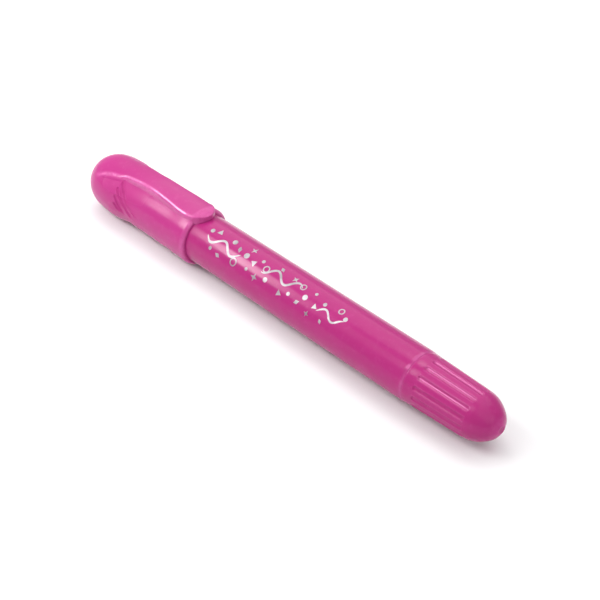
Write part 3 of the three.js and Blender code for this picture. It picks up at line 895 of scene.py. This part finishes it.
def knob_wear_and_highlight(s, y, z):
    r = np.hypot(y, z)
    a = np.arctan2(-y, z)
    pitch = 2 * math.pi / FLUTES
    offset = np.abs((a - FLUTE_PHASE + pitch / 2) % pitch - pitch / 2) * 6.3
    # lines lighter beside each flute: partly handling wear, partly a painted highlight for the flutes' bright lines
    lands = np.exp(-(((offset - FLUTE_HALF - 0.12) / 0.16) ** 2)) * (s > 124.6) * (s < 139.6) * (r > 5.5)
    rim = np.exp(-(((s - 121.6) / 0.25) ** 2)) * (r > 6.2)
    tip = ease(144.6, 146.1, s) * (r > 0.9)
    return np.maximum.reduce([0.3 * lands, 0.3 * rim, 0.45 * tip])


def knob_polish(s, y, z):
    a = np.arctan2(-y, z)
    pitch = 2 * math.pi / FLUTES
    offset = ((a - FLUTE_PHASE + pitch / 2) % pitch - pitch / 2) * 6.3
    outward = offset * np.sign(a + 0.32)
    reach = np.where(np.abs(a) > 0.52, 0.4, 0.02)
    offset = np.abs(offset)
    return ease(1.0, 0.92, np.abs(a)) * ease(0.11, -0.11, outward - reach) * ease(FLUTE_HALF + 0.06, FLUTE_HALF - 0.1, offset) * ease(124.3, 124.5, s) * ease(139.95, 139.75, s) * (np.hypot(y, z) > 5.5)


mask(knob, "wear_and_highlight", knob_wear_and_highlight)
mask(knob, "polish", knob_polish)

# ---------- rings ----------
torus = [(119.3 + 0.4 * math.cos(a), 5.0 + 0.4 * math.sin(a)) for a in np.linspace(0, 2 * math.pi, 25)[:-1]]
piece("friction_ring_moulded", lathe(torus, 96), "knob", RUBBER, ["friction_ring"], sharp=60)


def build_retaining_ring():
    skin = Skin()
    half = math.asin(1.4 / 5.4)
    corners = rounded([(116.6, 4.95), (116.2, 4.95, 0.06), (116.2, 5.85, 0.06), (117.0, 5.85, 0.06), (117.0, 4.95, 0.06), (116.6, 4.95)], 2)[:-1]
    angles = np.linspace(math.pi / 2 + half, math.pi / 2 + 2 * math.pi - half, 90)
    rows = [skin.add([(s, -r * math.sin(a), r * math.cos(a)) for s, r in corners]) for a in angles]
    for a, b in zip(rows, rows[1:]):
        skin.strip(a, b)
    skin.f.append(list(rows[0]))
    skin.f.append(list(reversed(rows[-1])))
    return skin


piece("retaining_ring_moulded", build_retaining_ring(), "barrel", NATURAL_PLASTIC, ["retaining_ring"])

# ---------- lead screw and drive nut ----------
LEAD, SCREW_FROM = 5.0, 86.0


def thread(angle, s, core, crest):
    """Radius of the two-start left-handed thread at an angle, measured from +Y towards +Z."""
    turn = -2 * math.pi * (s - SCREW_FROM) / LEAD
    q = np.abs(((angle - turn) / math.pi) % 1.0 - 0.5) * 2  # 1 on a crest, 0 between two
    return core + (crest - core) * ease(0.52, 0.8, q)


def build_screw():
    skin = Skin()
    sides = 72
    a = np.arange(sides) * 2 * math.pi / sides
    tip = skin.add([(SCREW_FROM, 0, 0)])[0]
    rows = []
    for s in np.arange(SCREW_FROM, 118.41, 0.15):
        lead_in = float(ease(SCREW_FROM, SCREW_FROM + 0.9, s))
        r = thread(a, s, 1.4, 1.4 + 0.6 * lead_in) - 0.25 * (1 - float(ease(SCREW_FROM, SCREW_FROM + 0.4, s)))
        rows.append(skin.add(np.column_stack([np.full(sides, s), r * np.cos(a), r * np.sin(a)])))
    for s, r in rounded([(118.4, 2.6), (118.4, 3.7, 0.35), (131.6, 3.7, 0.35), (131.6, 0.6, 0.1), (131.6, 0.5)], 4):
        rows.append(skin.add(np.column_stack([np.full(sides, s), r * np.cos(a), r * np.sin(a)])))
    skin.fan(tip, rows[0])
    for p, q in zip(rows, rows[1:]):
        skin.strip(p, q)
    skin.fan(skin.add([(131.6, 0, 0)])[0], rows[-1])
    return skin


piece("lead_screw_moulded", build_screw(), "knob", NATURAL_PLASTIC, ["lead_screw"], sharp=50)


def build_nut():
    skin = Skin()
    sides = 72
    a = np.arange(sides) * 2 * math.pi / sides
    stations = np.linspace(110.6, 116.2, 42)
    inside = [skin.add(np.column_stack([np.full(sides, s), (r := thread(a, s, 1.7, 2.35)) * np.cos(a), r * np.sin(a)])) for s in stations]
    outside = [
        skin.add(np.column_stack([np.full(sides, s), r * np.cos(a), r * np.sin(a)]))
        for s, r in [(110.6, 2.75), (110.65, 2.85), (110.75, 2.9), (113.4, 2.9), (116.05, 2.9), (116.15, 2.85), (116.2, 2.75)]
    ]
    for p, q in zip(inside, inside[1:]):
        skin.strip(p, q)
    for p, q in zip(outside, outside[1:]):
        skin.strip(q, p)
    skin.strip(outside[0], inside[0])
    skin.strip(inside[-1], outside[-1])
    return skin


piece("drive_nut_moulded", build_nut(), "carrier", NATURAL_PLASTIC, ["drive_nut"], sharp=50)

# ---------- pusher tube, cup, paint ----------
tube_profile = rounded(
    [
        (95.0, 2.4),
        (79.8, 2.4, 0.08),
        (79.8, 3.65, 0.15),
        (95.0, 3.65),
        (116.4, 3.65, 0.15),
        (116.4, 3.1, 0.08),
        (110.3, 3.1, 0.08),
        (110.3, 2.4, 0.08),
        (105.0, 2.4),
    ],
    3,
)
tube = piece("pusher_tube_moulded", lathe(tube_profile, 96), "carrier", WHITE_PLASTIC, ["pusher_tube"])
join(tube, block(90.0, 94.0, 3.1, 4.95, -0.65, 0.65, 0.18))
join(tube, block(90.0, 94.0, -4.95, -3.1, -0.65, 0.65, 0.18))

cup_profile = rounded(
    [
        (77.9, 0.0),
        (77.9, 3.75, 0.2),
        (71.0, 3.75, 0.1),
        (71.0, 4.25, 0.12),
        (79.5, 4.25, 0.2),
        (79.5, 2.1, 0.15),
        (84.6, 2.1, 0.1),
        (85.0, 1.7, 0.1),
        (85.0, 0.0),
    ],
    4,
)
piece("paint_cup_moulded", lathe(cup_profile, 96), "carrier", WHITE_PLASTIC, ["paint_cup"])

paint_tip = curve([(31.0, 0), (31.12, 1.3**2), (31.6, 2.45**2), (32.6, 3.42**2), (34.0, 3.96**2), (35.6, 4.18**2), (37.0, 4.19**2)])
paint_profile = [(31.0, 0)] + [(s, math.sqrt(float(paint_tip(s)))) for s in (31.02, 31.06, 31.12, 31.2, 31.3, 31.45, 31.6, 31.8, 32.05, 32.3, 32.6, 32.95, 33.3, 33.65, 34.0, 34.5, 35.0, 35.6, 36.3)]
paint_profile += [(s, 4.19) for s in np.arange(37.2, 69.9, 0.9)]
paint_profile += rounded([(69.9, 4.19), (70.2, 4.19, 0.15), (70.7, 3.42, 0.2), (77.5, 3.42, 0.2), (77.5, 0.0)], 3)[1:]


def hand_made(ring):
    """The pressed stick isn't perfectly even: shallow dents and swells, always inward of its nominal size."""
    s, y, z = ring[0, 0], ring[:, 1], ring[:, 2]
    a = np.arctan2(z, y)
    fade = float(ease(31.0, 32.6, s)) * (1 - float(ease(68.0, 70.0, s)))
    dent = 0.5 + 0.25 * np.sin(3 * a + 0.55 * s) + 0.15 * np.sin(5 * a - 0.83 * s + 1.3) + 0.1 * np.sin(2 * a + 2.1 * s)
    k = 1 - 0.011 * fade * np.clip(dent, 0, 1)
    out = ring.copy()
    out[:, 1] *= k
    out[:, 2] *= k
    return out


piece("paint_stick_pressed", lathe(paint_profile, 120, wave=hand_made), "carrier", PAINT, ["paint_stick"], sharp=60)

# ---------- silver foil confetti on the barrel ----------
FOIL_TOP, FOIL_BOTTOM = 6.816, 6.77


def on_barrel(s, arc, r):
    """Point on the barrel: arc in mm round it from the top towards -Y."""
    a = arc / 6.8
    return (s, -r * math.sin(a), r * math.cos(a))


class Foil:
    def __init__(self):
        self.skin = Skin()

    def sheet(self, points, faces, border):
        """A thin sheet from plan points (s, arc), its faces and its border loops."""
        top = self.skin.add([on_barrel(p[0], p[1], FOIL_TOP) for p in points])
        low = self.skin.add([on_barrel(p[0], p[1], FOIL_BOTTOM) for p in points])
        for f in faces:
            self.skin.f.append([top[i] for i in f])
            self.skin.f.append([low[i] for i in reversed(f)])
        for loop in border:
            for i, a in enumerate(loop):
                b = loop[(i + 1) % len(loop)]
                self.skin.f.append([top[a], low[a], low[b], top[b]])

    def disc(self, s, arc, r):
        n, k = 28, max(2, int(math.ceil(r / 0.3)))
        points, faces = [(s, arc)], []
        for i in range(1, k + 1):
            for j in range(n):
                t = 2 * math.pi * j / n
                points.append((s + r * i / k * math.cos(t), arc + r * i / k * math.sin(t)))
        for j in range(n):
            faces.append([0, 1 + j, 1 + (j + 1) % n])
        for i in range(k - 1):
            for j in range(n):
                a, b = 1 + i * n, 1 + (i + 1) * n
                faces.append([a + j, b + j, b + (j + 1) % n, a + (j + 1) % n])
        first = 1 + (k - 1) * n
        self.sheet(points, faces, [list(range(first, first + n))])

    def ring(self, s, arc, r, width):
        n = 40
        points, faces = [], []
        for rr in (r - width, r):
            for j in range(n):
                t = 2 * math.pi * j / n
                points.append((s + rr * math.cos(t), arc + rr * math.sin(t)))
        for j in range(n):
            faces.append([j, n + j, n + (j + 1) % n, (j + 1) % n])
        self.sheet(points, faces, [list(range(n, 2 * n)), list(reversed(range(n)))])

    def shape(self, corners, steps=5):
        """A star-shaped polygon about its middle, with edges cut fine enough to follow the barrel."""
        c = np.array(corners, float)
        middle = c.mean(0)
        edge = []
        for a, b in zip(c, np.roll(c, -1, axis=0)):
            for i in range(steps):
                edge.append(a + (b - a) * i / steps)
        n = len(edge)
        k = 4
        points, faces = [tuple(middle)], []
        for i in range(1, k + 1):
            for p in edge:
                q = middle + (p - middle) * i / k
                points.append((q[0], q[1]))
        for j in range(n):
            faces.append([0, 1 + j, 1 + (j + 1) % n])
        for i in range(k - 1):
            for j in range(n):
                a, b = 1 + i * n, 1 + (i + 1) * n
                faces.append([a + j, b + j, b + (j + 1) % n, a + (j + 1) % n])
        first = 1 + (k - 1) * n
        self.sheet(points, faces, [list(range(first, first + n))])

    def polygon(self, s, arc, r, corners, turn, squeeze=1.0):
        out = []
        for j in range(corners):
            t = 2 * math.pi * j / corners
            x, y = r * math.cos(t), r * squeeze * math.sin(t)
            out.append((s + x * math.cos(turn) - y * math.sin(turn), arc + x * math.sin(turn) + y * math.cos(turn)))
        self.shape(out)

    def sparkle(self, s, arc, r, turn):
        out = []
        for j in range(8):
            t = 2 * math.pi * j / 8 + turn
            rr = r if j % 2 == 0 else r * 0.34
            out.append((s + rr * math.cos(t), arc + rr * math.sin(t)))
        self.shape(out, 4)

    def streamer(self, s, arc, length, swing, waves, width, turn, phase=0.0):
        n = 90
        mid = []
        for i in range(n + 1):
            t = i / n
            x = (t - 0.5) * length
            y = swing * math.sin(2 * math.pi * waves * t + phase)
            mid.append((s + x * math.cos(turn) - y * math.sin(turn), arc + x * math.sin(turn) + y * math.cos(turn)))
        mid = np.array(mid)
        tangent = np.gradient(mid, axis=0)
        tangent /= np.linalg.norm(tangent, axis=1)[:, None]
        normal = np.column_stack([-tangent[:, 1], tangent[:, 0]])
        t = np.linspace(0, 1, n + 1)
        half = 0.5 * width * (0.25 + 0.75 * np.minimum(1, np.sin(np.pi * t) * 2.2))
        points = [tuple(p) for p in mid + normal * half[:, None]] + [tuple(p) for p in mid - normal * half[:, None]]
        faces = [[i, n + 1 + i, n + 2 + i, i + 1] for i in range(n)]
        self.sheet(points, faces, [list(range(n + 1)) + list(range(2 * n + 1, n, -1))])


foil = Foil()
foil.streamer(56.6, 4.1, 12.5, 1.15, 1.6, 0.62, 0.05)
foil.streamer(77.5, 3.0, 13.0, 1.2, 1.75, 0.6, -0.04, 1.2)
foil.streamer(95.4, 4.6, 8.4, 0.9, 1.35, 0.5, 0.03, 2.4)
for s, a, r in [(50.6, 2.2, 0.62), (53.2, 6.4, 0.5), (58.6, 1.6, 0.72), (64.4, 3.0, 0.8), (66.6, 5.9, 0.46), (69.6, 1.9, 0.5), (73.4, 5.6, 0.66), (81.6, 5.4, 0.5), (86.4, 3.9, 0.74), (88.3, 1.6, 0.42), (92.3, 2.7, 0.52), (99.6, 3.1, 0.6)]:
    foil.disc(s, a, r)
for s, a, r, w in [(61.9, 6.2, 1.12, 0.34), (71.9, 3.2, 0.98, 0.3), (84.0, 1.9, 0.9, 0.28), (97.2, 1.9, 0.85, 0.28)]:
    foil.ring(s, a, r, w)
for s, a, r, n, turn, q in [
    (52.9, 1.5, 0.98, 3, 0.4, 1.0),
    (56.3, 7.0, 0.9, 4, 0.35, 0.62),
    (61.4, 2.6, 0.95, 4, 1.1, 0.6),
    (67.6, 3.6, 1.0, 3, 1.2, 1.0),
    (75.6, 0.9, 0.86, 4, 0.6, 0.6),
    (78.9, 6.6, 0.96, 3, 2.2, 1.0),
    (84.9, 6.0, 0.88, 4, 2.5, 0.62),
    (90.2, 4.6, 0.86, 3, 0.2, 1.0),
    (93.6, 6.9, 0.7, 4, 0.9, 0.62),
]:
    foil.polygon(s, a, r, n, turn, q)
for s, a, r, turn in [(64.9, 0.6, 1.05, 0.3), (69.9, 6.6, 1.15, 0.1), (80.6, 1.3, 0.95, 0.5), (89.0, 7.1, 0.9, 0.25)]:
    foil.sparkle(s, a, r, turn)
piece("foil_confetti", foil.skin, "barrel", FOIL, sharp=40)

# ---------- floor, light, camera ----------
floor_mesh = bpy.data.meshes.new("floor")
floor_mesh.from_pydata([(-3, -3, 0), (3, -3, 0), (3, 3, 0), (-3, 3, 0)], [], [(0, 1, 2, 3)])
floor = bpy.data.objects.new("floor", floor_mesh)
bpy.context.scene.collection.objects.link(floor)
m, nt, shader, coords = new_material("floor_paper")
tone = noise(nt, coords, 6.0, 3.0, 0.5)
nt.links.new(mixed(nt, tone, (0.755, 0.755, 0.76), (0.775, 0.775, 0.775)), shader.inputs["Base Color"])
nt.links.new(ranged(nt, tone, 0.3, 0.7, 0.8, 0.9), shader.inputs["Roughness"])
shader.inputs["Specular IOR Level"].default_value = 0.15
floor_mesh.materials.append(m)


def lamp(name, towards, distance, size, energy, colour=(1, 1, 1), centre=(0.0, 0.0, 0.008), roll=None):
    """A soft rectangular light that faces the stick. size is (along the stick, across)."""
    data = bpy.data.lights.new(name, "AREA")
    data.shape = "RECTANGLE"
    data.size, data.size_y = size
    data.energy = energy
    data.color = colour
    obj = bpy.data.objects.new(name, data)
    bpy.context.scene.collection.objects.link(obj)
    d = Vector(towards).normalized()
    z = d
    x = Vector((1, 0, 0)) - z * z.x
    x.normalize()
    y = z.cross(x)
    obj.matrix_world = Matrix(
        (
            (x.x, y.x, z.x, centre[0] + d.x * distance),
            (x.y, y.y, z.y, centre[1] + d.y * distance),
            (x.z, y.z, z.z, centre[2] + d.z * distance),
            (0, 0, 0, 1),
        )
    )
    return obj


def towards(phi, lx):
    """Direction with X part lx, turned phi degrees from straight up towards -Y."""
    k = math.sqrt(1 - lx * lx)
    return (lx, -k * math.sin(math.radians(phi)), k * math.cos(math.radians(phi)))


lamp("key", towards(-24, -0.23), 0.9, (1.3, 1.0), 5.6)
lamp("fill", towards(12, 0.68), 0.8, (0.9, 0.8), 2.0)
lamp("streak", towards(40, -0.63), 0.42, (0.13, 0.205), 0.26, centre=(-0.027, 0.0, 0.008))
lamp("streak_core", towards(40, -0.63), 0.42, (0.06, 0.17), 0.58, centre=(-0.022, 0.0, 0.008))
lamp("long", towards(32, 0.0), 0.6, (0.356, 0.21), 0.6, centre=(-0.078, 0.0, 0.008))
lamp("short", towards(39, -0.48), 0.42, (0.06, 0.15), 0.165, centre=(0.087, 0.0, 0.008))
lamp("short_high", towards(-10, -0.48), 0.42, (0.06, 0.14), 0.145, centre=(0.087, 0.0, 0.008))

w = bpy.data.worlds.new("studio")
w.use_nodes = True
background = w.node_tree.nodes["Background"]
background.inputs["Color"].default_value = (1.0, 1.0, 1.0, 1.0)
background.inputs["Strength"].default_value = 0.6
scene = bpy.context.scene
scene.world = w
scene.view_settings.view_transform = "Standard"
scene.view_settings.look = "None"
scene.view_settings.exposure = 0.0

azimuth, elevation, distance = math.radians(47.0), math.radians(37.25), 0.377
back = Vector((math.sin(azimuth) * math.cos(elevation), -math.cos(azimuth) * math.cos(elevation), math.sin(elevation)))
target = Vector((0.007752, -0.000128, 0.00772))
camera_data = bpy.data.cameras.new("camera")
camera_data.sensor_width = 36.0
camera_data.lens = 91.9
camera_data.clip_start = 0.01
camera = bpy.data.objects.new("camera", camera_data)
camera.location = target + back * distance
camera.rotation_mode = "QUATERNION"
camera.rotation_quaternion = (-back).to_track_quat("-Z", "Y")
scene.collection.objects.link(camera)
scene.camera = camera
